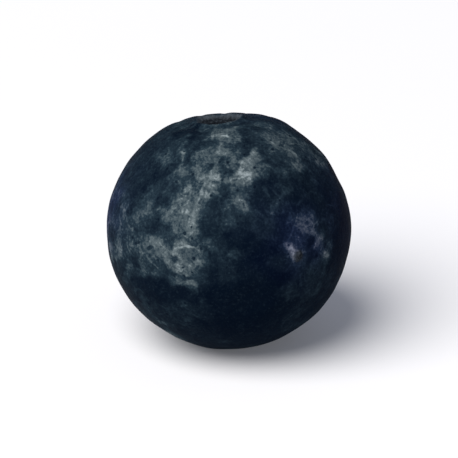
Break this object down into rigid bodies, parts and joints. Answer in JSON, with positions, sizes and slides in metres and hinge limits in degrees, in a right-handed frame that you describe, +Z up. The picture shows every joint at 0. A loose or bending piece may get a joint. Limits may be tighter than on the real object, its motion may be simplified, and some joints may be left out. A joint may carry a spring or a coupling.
{
  "type": "acai berry",
  "caption": "Single ripe acai palm fruit: small round dark berry with a sunken stem scar and a dull marbled bloom, resting on a small flat spot.",
  "frame": {"origin": "middle of the berry's box in plan, on the surface that its flat spot rests on", "axes": "+Z up, the front faces -Y, and the stem end is up, leaning back a little"},
  "size_m": [0.014, 0.014, 0.0134],
  "materials": {
    "berry_skin": "blue-black fruit skin under a thin grey marbled bloom, satin where the bloom is rubbed off, corky tan at the stem scar"
  },
  "bodies": {
    "root": {"acai_berry": "berry_skin"}
  },
  "joints": []
}
